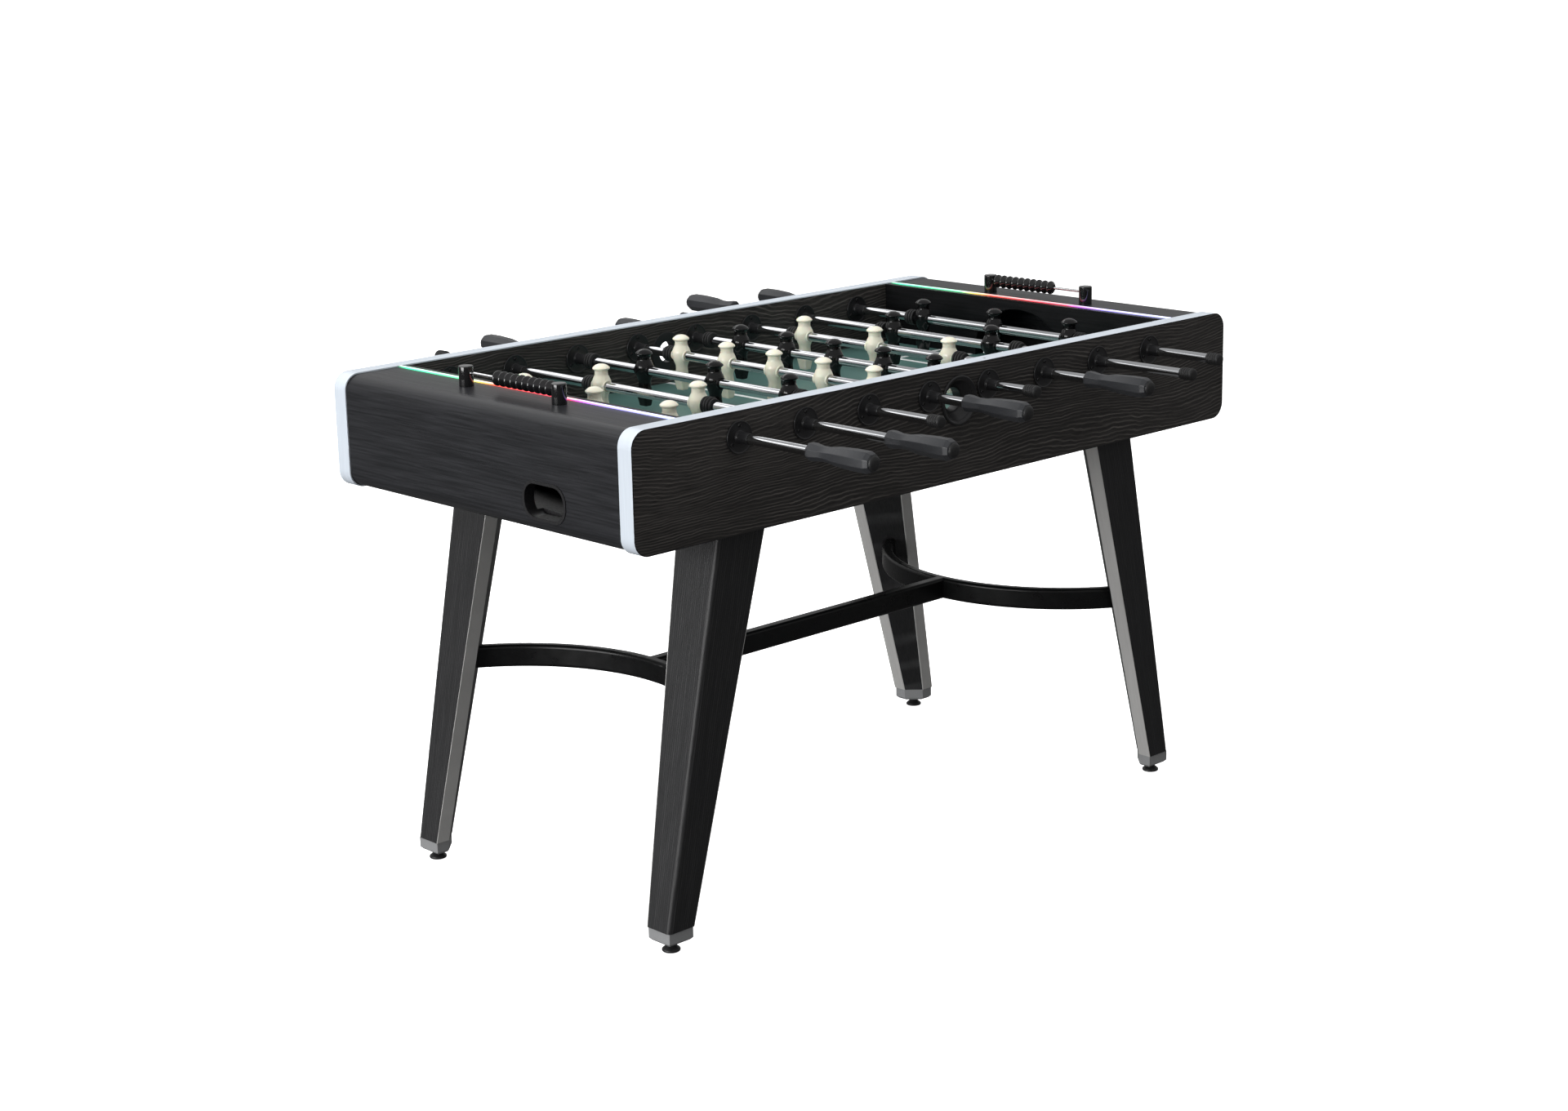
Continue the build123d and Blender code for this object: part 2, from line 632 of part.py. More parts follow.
def build():
    """Make every node and write it."""
    os.makedirs("parts", exist_ok=True)

    save("near_side_panel", [side_panel(-1)])
    save("far_side_panel", [side_panel(1)])
    save("side_edge_bands", [edge_band(-1), edge_band(1)])
    left_end, right_end = mirrored_ends(end_panel())
    save("left_end_panel", [left_end])
    save("right_end_panel", [right_end])
    save("goal_walls", mirrored_ends(goal_wall()))
    save("light_strips", mirrored_ends(light_strip()))
    save("playfield", [playfield()])
    save("ball_troughs", mirrored_ends(ball_trough()))
    save("ball_entry_cups", [ball_entry_cup(-1), ball_entry_cup(1)])

    numbers = range(1, len(RODS) + 1)
    halves = [(n, side, outer) for n in numbers for side in (-1, 1) for outer in (True, False)]
    save("rod_bearings", [bearing(rod_x(n), side, outer) for n, side, outer in halves])
    seats = [(x, z, side, outer) for n, side, outer in halves for x, z in screw_places(rod_x(n))]
    save("bearing_screws", [screw(*seat) for seat in seats])

    figure = man_figure()
    for number, (men, grip_side, slide, near_gap) in enumerate(RODS, 1):
        save(f"rod_{number}_shaft", [rod_shaft(number, men, grip_side, slide)])
        places = man_places(men, slide)
        save(f"rod_{number}_men", [Pos(rod_x(number), y, ROD_Z) * figure for y in places])
        save(f"rod_{number}_bumpers", rod_bumpers(number, men, slide, near_gap))
        save(f"rod_{number}_grip", rod_grip(number, men, grip_side, slide))
    save("parked_bumpers", [bumper_at(n, parked_y(), 1) for n in PARKED_RODS])

    posts = [score_post(-POST_Y), score_post(POST_Y)]
    save("scorer_posts", [end for post in posts for end in mirrored_ends(post)])
    save("scorer_wires", mirrored_ends(score_wire()))
    left_beads = score_beads()
    save("left_score_beads", left_beads)
    save("right_score_beads", [Rot(0, 0, 180) * bead for bead in left_beads])

    bolts = frame_bolts()
    leg, strips = leg_and_strips()
    stem_hole = upright(LEVELLER_HOLE_R, LEG_FOOT_Z - 1, LEVELLER_TOP_Z + 20, LEVELLER_X, LEVELLER_Y)
    legs = four_corners(leg - stem_hole)
    save("legs", [one - bolts for one in legs])
    save("leg_edge_strips", [corner for strip in strips for corner in four_corners(strip)])
    save("leg_foot_caps", four_corners(foot_cap()))
    corner_names = ("far_right", "far_left", "near_left", "near_right")
    for name, foot in zip(corner_names, four_corners(leveller())):
        save(f"{name}_leveller", [foot])
    save("leg_blocks", [one - bolts for one in four_corners(leg_block())])

    right_arc = stretcher_arc(legs)
    arcs = [right_arc, mirror(right_arc, Plane.YZ)]
    save("stretcher_arcs", [arc - bolts for arc in arcs])
    save("stretcher_beam", [stretcher_beam(arcs) - bolts])
    save("frame_bolts", bolts)


build()
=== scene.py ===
import json
from math import copysign, cos, pi, radians, sin

import bmesh
import bpy
from mathutils import Matrix, Vector

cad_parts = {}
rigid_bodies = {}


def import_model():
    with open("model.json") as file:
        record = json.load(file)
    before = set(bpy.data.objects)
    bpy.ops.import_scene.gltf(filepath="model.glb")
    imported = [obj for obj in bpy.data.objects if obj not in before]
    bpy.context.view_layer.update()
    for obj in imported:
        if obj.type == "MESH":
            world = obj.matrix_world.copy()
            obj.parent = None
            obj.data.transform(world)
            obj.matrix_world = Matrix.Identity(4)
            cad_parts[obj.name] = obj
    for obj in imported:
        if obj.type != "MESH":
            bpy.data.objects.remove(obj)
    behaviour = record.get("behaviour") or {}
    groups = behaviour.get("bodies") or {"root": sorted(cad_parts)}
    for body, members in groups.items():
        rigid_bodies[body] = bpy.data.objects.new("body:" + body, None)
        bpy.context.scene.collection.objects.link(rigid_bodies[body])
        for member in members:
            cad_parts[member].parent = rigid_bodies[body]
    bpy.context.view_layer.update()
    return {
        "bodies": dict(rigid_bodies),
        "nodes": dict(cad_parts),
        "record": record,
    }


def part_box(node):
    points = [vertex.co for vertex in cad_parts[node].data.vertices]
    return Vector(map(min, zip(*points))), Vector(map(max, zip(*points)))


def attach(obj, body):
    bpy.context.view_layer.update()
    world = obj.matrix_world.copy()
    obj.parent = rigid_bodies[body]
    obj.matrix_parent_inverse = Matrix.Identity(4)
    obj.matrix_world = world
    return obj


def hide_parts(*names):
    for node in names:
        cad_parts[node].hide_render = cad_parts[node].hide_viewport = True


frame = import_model()
record = frame["record"]
NODES = frame["nodes"]
SLOT_OF = {part["node"]: part["material_slot"] for part in record["subparts"]}

# Lengths below are millimetres, in the frame of the CAD model, until a mesh is made.
MM = 0.001
MEN_ON_ROD = (3, 2, 3, 5, 5, 3, 2, 3)
GRIP_SIDE = (-1, -1, 1, -1, 1, -1, 1, 1)
GRIP_START = {2: 553.0, 3: 497.0, 5: 447.0}  # from the middle of the men, by how many there are
PARKED_RODS = (3, 5)
ROD_Z = 826.5
ROD_HOLE_R = 8.1
MAN_HALF = 17.0
PIN_DROP = (-12.6, 10.6)  # a pin's place along and above the rod, from its man
BUMPER_LENGTH = 22.0
BUMPER_RIBS = 3
GRIP_LENGTH = 138.0
CAP_LENGTH = 27.0
CAP_RIBS = 4
FLANGE_R = 26.5
FLANGE_THICKNESS = 2.3
FLANGE_SCREW_RING = 19.0
SLEEVE_OUTSIDE = 26.0
SLEEVE_INSIDE = 28.0
OUTER_Y = 379.5
INNER_Y = 348.5
TABLE_TOP = 868.0
FIELD_TOP = 752.0
GOAL_WALL_X = 601.0
LINE_WIDTH = 10.0
GOAL_BOXES = ((450.0, 198.0), (540.0, 122.0))  # each box's front line, and half its width
POST_R = 12.2
BEADS = 10
BEAD_STEP = 14.7
LIGHT_STRIP_X = 596.8
LIGHT_HALF_LENGTH = 348.0


def node_box(node):
    """A node's box at rest, in millimetres."""
    low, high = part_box(node)
    return Vector(low) / MM, Vector(high) / MM


# ---- shapes -------------------------------------------------------------------------------------
class Shell:
    """Points and faces gathered from several closed surfaces, made into one piece at the end."""

    def __init__(self):
        self.points = []
        self.faces = []

    def add(self, surface, place=None):
        """Take in a surface, given as (points, faces), at a place."""
        points, faces = surface
        base = len(self.points)
        place = place or Matrix.Identity(4)
        self.points += [place @ Vector(p) for p in points]
        self.faces += [tuple(base + i for i in face) for face in faces]
        return self

    def piece(self, name, slot, body="root", stands_for=(), sharp=32):
        """Make the piece, ride it on a body and hide the nodes it stands for."""
        mesh = bpy.data.meshes.new(name)
        mesh.from_pydata([p * MM for p in self.points], [], self.faces)
        work = bmesh.new()
        work.from_mesh(mesh)
        bmesh.ops.dissolve_degenerate(work, dist=0.008 * MM, edges=work.edges)
        bmesh.ops.recalc_face_normals(work, faces=work.faces)
        work.to_mesh(mesh)
        work.free()
        mesh.shade_smooth()
        mesh.set_sharp_from_angle(angle=radians(sharp))
        mesh.materials.append(MATERIALS[slot])
        piece = bpy.data.objects.new(name, mesh)
        bpy.context.scene.collection.objects.link(piece)
        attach(piece, body)
        if stands_for:
            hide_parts(*stands_for)


def skin(rings, closed=False):
    """Faces over a stack of rings with equally many points, capped unless the stack closes on itself."""
    count = len(rings[0])
    points = [p for ring in rings for p in ring]
    faces = []
    last = len(rings) if closed else len(rings) - 1
    for i in range(last):
        here, there = i * count, (i + 1) % len(rings) * count
        for j in range(count):
            k = (j + 1) % count
            faces.append((here + j, here + k, there + k, there + j))
    if not closed:
        faces.append(tuple(range(count - 1, -1, -1)))
        faces.append(tuple(range(len(points) - count, len(points))))
    return points, faces


def circle(radius, z, segments):
    """A level ring about Z."""
    turns = [2 * pi * j / segments for j in range(segments)]
    return [(radius * cos(a), radius * sin(a), z) for a in turns]


def lathe(profile, segments=40, ring=False):
    """A surface of revolution about Z from (radius, z) points; a ring has a hole through it."""
    return skin([circle(max(r, 0.02), z, segments) for r, z in profile], closed=ring)


def soften(points, radius, closed=False, steps=3):
    """A profile with its corners rounded."""
    count = len(points)
    flat = [Vector(p) for p in points]
    out = []
    for i, here in enumerate(flat):
        if not closed and i in (0, count - 1):
            out.append(tuple(here))
            continue
        before, after = flat[i - 1] - here, flat[(i + 1) % count] - here
        reach = min(radius, before.length * 0.45, after.length * 0.45)
        a, b = here + before.normalized() * reach, here + after.normalized() * reach
        for k in range(steps + 1):
            t = k / steps
            out.append(tuple(a * (1 - t) ** 2 + here * (2 * t * (1 - t)) + b * t**2))
    return out


def smooth_rows(rows, steps):
    """Rows of numbers, whose first is a height, with smooth rows put in between them."""
    def slope(i, k):
        low, high = rows[max(i - 1, 0)], rows[min(i + 1, len(rows) - 1)]
        return (high[k] - low[k]) / (high[0] - low[0])

    out = []
    for i in range(len(rows) - 1):
        a, b = rows[i], rows[i + 1]
        gap = b[0] - a[0]
        for s in range(steps):
            t = s / steps
            row = [a[0] + gap * t]
            for k in range(1, len(a)):
                held = (2 * t**3 - 3 * t**2 + 1) * a[k] + (3 * t**2 - 2 * t**3) * b[k]
                bent = (t**3 - 2 * t**2 + t) * slope(i, k) + (t**3 - t**2) * slope(i + 1, k)
                row.append(held + bent * gap)
            out.append(row)
    return out + [list(rows[-1])]


def rounded_square(z, half_x, half_y, power, segments=44):
    """A level ring between an ellipse, at power 2, and a rectangle, at a high power."""
    ring = []
    for j in range(segments):
        a = 2 * pi * (j + 0.5) / segments
        x = copysign(abs(cos(a)) ** (2 / power), cos(a))
        y = copysign(abs(sin(a)) ** (2 / power), sin(a))
        ring.append((half_x * x, half_y * y, z))
    return ring


def soft_polygon(z, radius, sides, bevel):
    """A level polygon ring about Z with its corners rounded."""
    corners = []
    for j in range(sides):
        a = 2 * pi * (j + 0.5) / sides
        corners.append((radius * cos(a), radius * sin(a)))
    return [(x, y, z) for x, y in soften(corners, bevel, closed=True, steps=2)]


def strip(x, y, z, bevel):
    """A flat strip between three pairs of limits, with its upper edges bevelled."""
    def level(inset, height):
        x0, x1, y0, y1 = x[0] + inset, x[1] - inset, y[0] + inset, y[1] - inset
        return [(x0, y0, height), (x1, y0, height), (x1, y1, height), (x0, y1, height)]

    return skin([level(0, z[0]), level(0, z[1] - bevel), level(bevel, z[1])])


def facing(x, y, z, side):
    """Turn a piece made about Z so that its +Z points along Y, to a side, and move it."""
    turn = Matrix.Rotation(radians(-90 * side), 4, "X")
    return Matrix.Translation((x, y, z)) @ turn


# ---- materials ----------------------------------------------------------------------------------
class Finish:
    """One procedural material, built round a Principled shader."""

    def __init__(self, name, **sockets):
        self.material = bpy.data.materials.new(name)
        self.material.use_nodes = True
        self.tree = self.material.node_tree
        self.shader = self.tree.nodes["Principled BSDF"]
        self.place = self.node("ShaderNodeTexCoord").outputs["Object"]
        for key, value in sockets.items():
            self.shader.inputs[key.replace("_", " ")].default_value = value

    def node(self, kind, sockets=None, **settings):
        made = self.tree.nodes.new(kind)
        for key, value in settings.items():
            setattr(made, key, value)
        for key, value in (sockets or {}).items():
            self.feed(made.inputs[key], value)
        return made

    def feed(self, socket, value):
        if isinstance(value, bpy.types.NodeSocket):
            self.tree.links.new(value, socket)
        else:
            socket.default_value = value

    def axes(self):
        """The X, Y and Z of the place on the piece, in metres."""
        return self.node("ShaderNodeSeparateXYZ", {0: self.place}).outputs

    def vector(self, x, y, z):
        return self.node("ShaderNodeCombineXYZ", {0: x, 1: y, 2: z}).outputs[0]

    def calc(self, operation, a, b=0.0):
        return self.node("ShaderNodeMath", {0: a, 1: b}, operation=operation).outputs[0]

    def times(self, a, b):
        return self.calc("MULTIPLY", a, b)

    def plus(self, a, b):
        return self.calc("ADD", a, b)

    def stretch(self, *pairs):
        """A vector from three pairs of a value and its scale."""
        return self.vector(*[self.times(value, scale) for value, scale in pairs])

    def off_strip(self, x):
        """The distance across from the middle of the nearer light strip, in metres."""
        across = self.calc("SUBTRACT", self.calc("ABSOLUTE", x), LIGHT_STRIP_X * MM)
        return self.calc("ABSOLUTE", across)

    def noise(self, vector, scale=1.0, detail=3.0, rough=0.55, distortion=0.0):
        sockets = {
            "Vector": vector, "Scale": scale, "Detail": detail, "Roughness": rough,
            "Distortion": distortion,
        }
        return self.node("ShaderNodeTexNoise", sockets).outputs["Fac"]

    def span(self, value, low, high, to_low=0.0, to_high=1.0):
        sockets = {
            "Value": value, "From Min": low, "From Max": high, "To Min": to_low, "To Max": to_high,
        }
        return self.node("ShaderNodeMapRange", sockets).outputs["Result"]

    def ramp(self, value, stops):
        made = self.node("ShaderNodeValToRGB", {"Fac": value})
        elements = made.color_ramp.elements
        while len(elements) < len(stops):
            elements.new(0.5)
        for element, (position, color) in zip(elements, stops):
            element.position = position
            element.color = (*color, 1.0)
        return made.outputs["Color"]

    def mix(self, factor, a, b):
        made = self.node("ShaderNodeMix", data_type="RGBA")
        self.feed(made.inputs[0], factor)
        for index, value in ((6, a), (7, b)):
            linked = isinstance(value, bpy.types.NodeSocket)
            self.feed(made.inputs[index], value if linked else (*value, 1.0))
        return made.outputs[2]

    def bump(self, height, depth):
        """Depth is the height of the relief in millimetres."""
        sockets = {"Height": height, "Distance": depth * MM, "Strength": 1.0}
        self.feed(self.shader.inputs["Normal"], self.node("ShaderNodeBump", sockets).outputs[0])

    def color(self, value):
        self.feed(self.shader.inputs["Base Color"], value)

    def roughness(self, value):
        self.feed(self.shader.inputs["Roughness"], value)

    def speckle(self, tone, spread, scale, rough, rough_spread, depth):
        """Slight changes of tone and gloss, and a fine relief."""
        cloud = self.noise(self.place, scale, 3.0)
        dark = [c * (1 - spread) for c in tone]
        light = [c * (1 + spread) for c in tone]
        self.color(self.ramp(cloud, [(0.3, dark), (0.7, light)]))
        worn = self.noise(self.place, scale * 0.17, 2.0)
        self.roughness(self.span(worn, 0.3, 0.7, rough - rough_spread, rough + rough_spread))
        if depth:
            self.bump(cloud, depth)
        return self.material


def embossed_wood(finish, along, across, other, base, line_tone_and_highlight, pitch, arches, depth):
    """Dark laminate with cathedral grain: lines along one axis, a pitch apart, that bow into arches. The
    lines are painted lighter, partly the grain's own tone and partly a painted highlight on the embossed
    ridges.
    """
    broad = finish.noise(finish.stretch((along, 2.3), (across, 6.5), (other, 2.0)), 1.0, 1.5, 0.4)
    ripple = finish.noise(finish.stretch((along, 24.0), (across, 34.0), (other, 9.0)), 1.0, 2.0, 0.5)
    bow = finish.plus(finish.times(broad, arches), finish.times(ripple, arches * 0.08))
    lines = finish.plus(finish.calc("DIVIDE", across, pitch * MM), bow)
    wave = finish.calc("SINE", finish.times(lines, 2 * pi))
    wobble = finish.noise(finish.stretch((along, 9.0), (lines, 1.6), (other, 5.0)), 1.0, 3.0, 0.6)
    fibre = finish.noise(finish.stretch((along, 26.0), (across, 1150.0), (other, 900.0)), 1.0, 3.0, 0.65)
    ridge = finish.span(wave, 0.15, 1.0)
    patchy = finish.span(wobble, 0.38, 0.70)
    line = finish.times(ridge, finish.plus(finish.times(patchy, 0.85), 0.15))
    threads = finish.times(finish.span(fibre, 0.35, 0.7), finish.span(broad, 0.3, 0.7, 0.15, 0.38))
    grain = finish.plus(finish.times(line, 0.65), threads)
    # Lighter lines: the grain's colour together with a painted highlight on the embossed ridges.
    finish.color(finish.mix(grain, base, line_tone_and_highlight))
    finish.roughness(finish.span(grain, 0.0, 1.0, 0.40, 0.56))
    finish.bump(grain, depth)
    return finish.material


def panel_wood():
    """The grain runs along each side panel."""
    finish = Finish("black_woodgrain", Specular_IOR_Level=0.24)
    x, y, z = finish.axes()
    base, line_tone_and_highlight = (0.0120, 0.0114, 0.0110), (0.175, 0.162, 0.150)
    return embossed_wood(finish, x, z, y, base, line_tone_and_highlight, pitch=5.8, arches=19.0, depth=0.30)


def leg_wood():
    """The grain runs down each leg, which leans outwards along X as it goes down."""
    finish = Finish("leg_woodgrain", Specular_IOR_Level=0.3)
    x, y, z = finish.axes()
    out = finish.plus(finish.calc("ABSOLUTE", x), finish.times(z, 0.198))
    across = finish.plus(out, finish.calc("ABSOLUTE", y))
    base, line_tone_and_highlight = (0.0105, 0.0105, 0.0112), (0.050, 0.050, 0.052)
    return embossed_wood(finish, z, across, y, base, line_tone_and_highlight, pitch=4.6, arches=5.0, depth=0.18)


def apron_wood(name, dark, light):
    """Smooth dark laminate, grained along Y, with a painted glow in the light strips' colour on its top
    beside them.
    """
    finish = Finish(name, Specular_IOR_Level=0.15, Emission_Strength=2.0)
    x, y, z = finish.axes()
    streaks = finish.noise(finish.stretch((x, 230.0), (y, 7.0), (z, 260.0)), 1.0, 3.0, 0.6, 0.4)
    fibre = finish.noise(finish.stretch((x, 1100.0), (y, 40.0), (z, 1300.0)), 1.0, 2.0)
    grain = finish.plus(finish.times(finish.span(streaks, 0.36, 0.68), 0.7), finish.times(fibre, 0.3))
    finish.color(finish.mix(grain, dark, light))
    finish.roughness(finish.span(grain, 0.0, 1.0, 0.28, 0.40))
    finish.bump(grain, 0.07)
    # Painted glow: the top beside each light strip emits the strip's colour, standing in for the light the
    # strip casts on it.
    on_top = finish.span(z, (TABLE_TOP - 2.0) * MM, (TABLE_TOP - 0.5) * MM)
    painted_glow_band = finish.times(finish.span(finish.off_strip(x), 0.004, 0.024, 1.0, 0.0), on_top)
    painted_glow = finish.calc("POWER", painted_glow_band, 1.7)
    painted_glow_colour = finish.mix(painted_glow, (0.0, 0.0, 0.0), light_hue(finish, y))
    finish.feed(finish.shader.inputs["Emission Color"], painted_glow_colour)
    return finish.material


def playing_surface():
    """Printed green board, a little cloudy, under a thin lacquer."""
    finish = Finish("green_playfield", Specular_IOR_Level=0.42, Coat_Weight=0.1, Coat_Roughness=0.2)
    cloud = finish.noise(finish.place, 9.0, 4.0)
    print_dots = finish.noise(finish.place, 900.0, 1.0)
    tone = finish.mix(finish.span(cloud, 0.3, 0.7), (0.072, 0.152, 0.138), (0.082, 0.170, 0.155))
    finish.color(finish.mix(finish.span(print_dots, 0.55, 0.75, 0.0, 0.25), tone, (0.080, 0.190, 0.165)))
    finish.roughness(finish.span(cloud, 0.3, 0.7, 0.34, 0.44))
    finish.bump(print_dots, 0.02)
    return finish.material


def edge_banding(name, tone, rough, spread, cut=None):
    """Plastic banding; cut is the colour of a face sheet that covers the banding's outward side."""
    finish = Finish(name, Specular_IOR_Level=0.5)
    x, y, z = finish.axes()
    streaks = finish.noise(finish.stretch((x, 6.0), (y, 260.0), (z, 12.0)), 1.0, 3.0)
    fine = finish.noise(finish.place, 1500.0, 1.0)
    dark = [c * (1 - spread) for c in tone]
    light = [c * (1 + spread) for c in tone]
    shown = finish.ramp(streaks, [(0.3, dark), (0.7, light)])
    if cut:
        normal = finish.tree.nodes["Texture Coordinate"].outputs["Normal"]
        sideways = finish.node("ShaderNodeSeparateXYZ", {0: normal}).outputs["Y"]
        outward = finish.times(sideways, y)
        shown = finish.mix(finish.span(outward, 0.27, 0.30), shown, cut)
    finish.color(shown)
    finish.roughness(finish.span(streaks, 0.3, 0.7, rough - 0.05, rough + 0.05))
    finish.bump(fine, 0.015)
    return finish.material


def light_hue(finish, y):
    """The colour of the light strips along Y, from blue at the near end to green at the far end."""
    return finish.ramp(finish.span(y, -LIGHT_HALF_LENGTH * MM, LIGHT_HALF_LENGTH * MM), [
        (0.02, (0.40, 0.44, 1.0)), (0.22, (0.34, 0.28, 1.0)), (0.30, (0.45, 0.10, 0.80)),
        (0.35, (1.0, 0.05, 0.12)), (0.62, (1.0, 0.06, 0.03)), (0.68, (0.85, 0.55, 0.08)),
        (0.73, (0.12, 0.85, 0.30)), (0.96, (0.03, 0.80, 0.36)), (1.0, (0.01, 0.10, 0.05)),
    ])


def light_diffuser():
    """A frosted strip over coloured lights, whose colour runs along Y, with a paler core."""
    finish = Finish("light_diffuser", Roughness=0.35, Emission_Strength=2.0)
    x, y, z = finish.axes()
    hue = light_hue(finish, y)
    core = finish.span(finish.off_strip(x), 0.0010, 0.0044, 1.0, 0.0)
    dots = finish.noise(finish.vector(0.0, finish.times(y, 60.0), 0.0), 1.0, 1.0)
    paleness = finish.times(core, finish.span(dots, 0.3, 0.7, 0.40, 0.70))
    finish.feed(finish.shader.inputs["Emission Color"], finish.mix(paleness, hue, (1.0, 1.0, 1.0)))
    finish.color(finish.mix(0.93, hue, (0.04, 0.04, 0.04)))
    return finish.material


def chrome(name, tone, rough):
    """Bright metal with faint drawing marks along Y."""
    finish = Finish(name, Metallic=1.0)
    x, y, z = finish.axes()
    drawn = finish.noise(finish.stretch((x, 900.0), (y, 14.0), (z, 900.0)), 1.0, 3.0)
    finish.color(finish.ramp(drawn, [(0.3, [c * 0.96 for c in tone]), (0.7, tone)]))
    finish.roughness(finish.span(drawn, 0.3, 0.7, rough * 0.8, rough * 1.2))
    return finish.material


def raw_wood():
    """Unfinished softwood with its grain along X."""
    finish = Finish("raw_wood", Specular_IOR_Level=0.3)
    x, y, z = finish.axes()
    grain = finish.noise(finish.stretch((x, 8.0), (y, 120.0), (z, 120.0)), 1.0, 4.0, 0.6, 0.5)
    finish.color(finish.ramp(grain, [(0.25, (0.36, 0.25, 0.14)), (0.75, (0.52, 0.39, 0.24))]))
    finish.roughness(finish.span(grain, 0.0, 1.0, 0.6, 0.8))
    finish.bump(grain, 0.15)
    return finish.material


def moulded(name, tone, spread, scale, rough, rough_spread, depth, **sockets):
    """A moulded or lacquered finish, with the shader's own sockets set by name."""
    return Finish(name, **sockets).speckle(tone, spread, scale, rough, rough_spread, depth)


MATERIALS = {
    "black_woodgrain": panel_wood(),
    "leg_woodgrain": leg_wood(),
    "black_apron": apron_wood("black_apron", (0.0122, 0.0126, 0.0138), (0.030, 0.0305, 0.0340)),
    # The goal walls: the apron laminate made darker, painted shade for the shadow inside the cabinet.
    "goal_wall": apron_wood("goal_wall", (0.0045, 0.0047, 0.0050), (0.010, 0.010, 0.011)),
    "green_playfield": playing_surface(),
    "pale_edge_band": edge_banding(
        "pale_edge_band", (0.60, 0.655, 0.72), 0.36, 0.03, cut=(0.011, 0.010, 0.010),
    ),
    "silver_edge": edge_banding("silver_edge", (0.45, 0.445, 0.435), 0.34, 0.05),
    "light_diffuser": light_diffuser(),
    "raw_wood": raw_wood(),
    "chrome_rod": chrome("chrome_rod", (0.60, 0.61, 0.63), 0.08),
    "steel_wire": chrome("steel_wire", (0.78, 0.79, 0.80), 0.14),
    "zinc_bolt": chrome("zinc_bolt", (0.62, 0.63, 0.64), 0.32),
    "black_moulded": moulded(
        "black_moulded", (0.0125, 0.0125, 0.0135), 0.2, 1300.0, 0.34, 0.06, 0.03,
    ),
    "black_screw": moulded(
        "black_screw", (0.030, 0.030, 0.031), 0.25, 900.0, 0.30, 0.08, 0.02,
        Metallic=0.7,
    ),
    "black_rubber": moulded("black_rubber", (0.0095, 0.0095, 0.0100), 0.2, 800.0, 0.52, 0.06, 0.05),
    "black_gloss": moulded(
        "black_gloss", (0.0060, 0.0060, 0.0065), 0.2, 60.0, 0.10, 0.03, 0.0,
        Coat_Weight=0.5,
    ),
    "pale_foot": moulded("pale_foot", (0.255, 0.258, 0.262), 0.06, 700.0, 0.42, 0.05, 0.03),
    "black_stretcher": moulded(
        "black_stretcher", (0.0045, 0.0045, 0.0048), 0.2, 240.0, 0.30, 0.05, 0.03,
        Specular_IOR_Level=0.25,
    ),
    "black_leveller": moulded(
        "black_leveller", (0.0110, 0.0110, 0.0115), 0.2, 900.0, 0.38, 0.06, 0.03,
    ),
    "white_men": moulded(
        "white_men", (0.90, 0.87, 0.71), 0.025, 34.0, 0.17, 0.04, 0.0,
        Subsurface_Weight=0.12, Subsurface_Scale=0.004, Coat_Weight=0.3, Coat_Roughness=0.08,
    ),
    "black_men": moulded(
        "black_men", (0.0042, 0.0042, 0.0046), 0.2, 40.0, 0.13, 0.03, 0.0,
        Specular_IOR_Level=0.3, Coat_Weight=0.15,
    ),
    "black_grip": moulded("black_grip", (0.0225, 0.0238, 0.0270), 0.15, 1500.0, 0.40, 0.05, 0.03),
    "white_line": moulded("white_line", (0.84, 0.87, 0.86), 0.03, 60.0, 0.30, 0.04, 0.0),
}


# ---- pieces -------------------------------------------------------------------------------------
def man_body():
    """One figure about its rod hole: blade foot, waist, shoulders and a round head with a brim."""
    rows = [  # height, half the length and depth of the section, and how square it is
        (-62.0, 6.3, 8.6, 7.0), (-61.2, 6.9, 9.2, 7.0), (-52.0, 9.0, 10.4, 7.0),
        (-43.6, 11.0, 11.7, 6.0), (-41.5, 11.2, 11.8, 5.0), (-38.0, 11.0, 11.5, 3.5),
        (-33.0, 10.6, 11.2, 2.6), (-27.0, 10.6, 10.9, 2.2), (-21.0, 10.7, 10.7, 2.0),
        (-16.0, 11.6, 11.6, 2.0), (-10.0, 14.0, 14.0, 2.0), (-4.0, 15.9, 15.9, 2.0),
        (2.0, 16.6, 16.6, 2.0), (7.0, 16.4, 16.4, 2.0), (12.0, 14.8, 14.8, 2.0), (16.0, 12.9, 12.9, 2.0),
        (18.5, 11.7, 11.7, 2.0), (20.5, 11.4, 11.4, 2.0), (25.5, 11.4, 11.4, 2.0), (26.6, 11.9, 11.9, 2.0),
        (28.6, 14.5, 14.5, 2.0), (29.4, 14.9, 14.9, 2.0), (30.6, 14.9, 14.9, 2.0), (31.4, 14.4, 14.4, 2.0),
        (33.5, 12.3, 12.3, 2.0), (35.6, 9.2, 9.2, 2.0), (36.9, 5.8, 5.8, 2.0), (37.5, 2.4, 2.4, 2.0),
    ]
    bottom = (-62.4, 5.2, 7.4, 7.0)
    return skin([rounded_square(*bottom)] + [rounded_square(*row) for row in smooth_rows(rows, 3)])


def hub():
    """The ring of a figure that the rod goes through."""
    half = MAN_HALF - 0.4
    profile = [(ROD_HOLE_R, -half), (10.6, -half), (10.6, half), (ROD_HOLE_R, half)]
    return lathe(soften(profile, 0.7, closed=True), 36, ring=True)


def bumper_ring():
    """A rubber bumper about Z, from its ribbed end at z 0."""
    profile = [(ROD_HOLE_R, 0.0), (13.4, 0.0)]
    for i in range(BUMPER_RIBS):
        z = 6.2 * i
        if i:
            profile.append((13.2, z + 0.1))
        profile += [(14.6, z + 1.0), (14.6, z + 3.6), (13.2, z + 4.7), (11.4, z + 5.0), (11.4, z + 5.8)]
    profile += [(12.4, 18.6), (12.4, BUMPER_LENGTH - 0.6)]
    profile += [(11.8, BUMPER_LENGTH), (ROD_HOLE_R, BUMPER_LENGTH)]
    return lathe(soften(profile, 0.7, closed=True, steps=2), 40, ring=True)


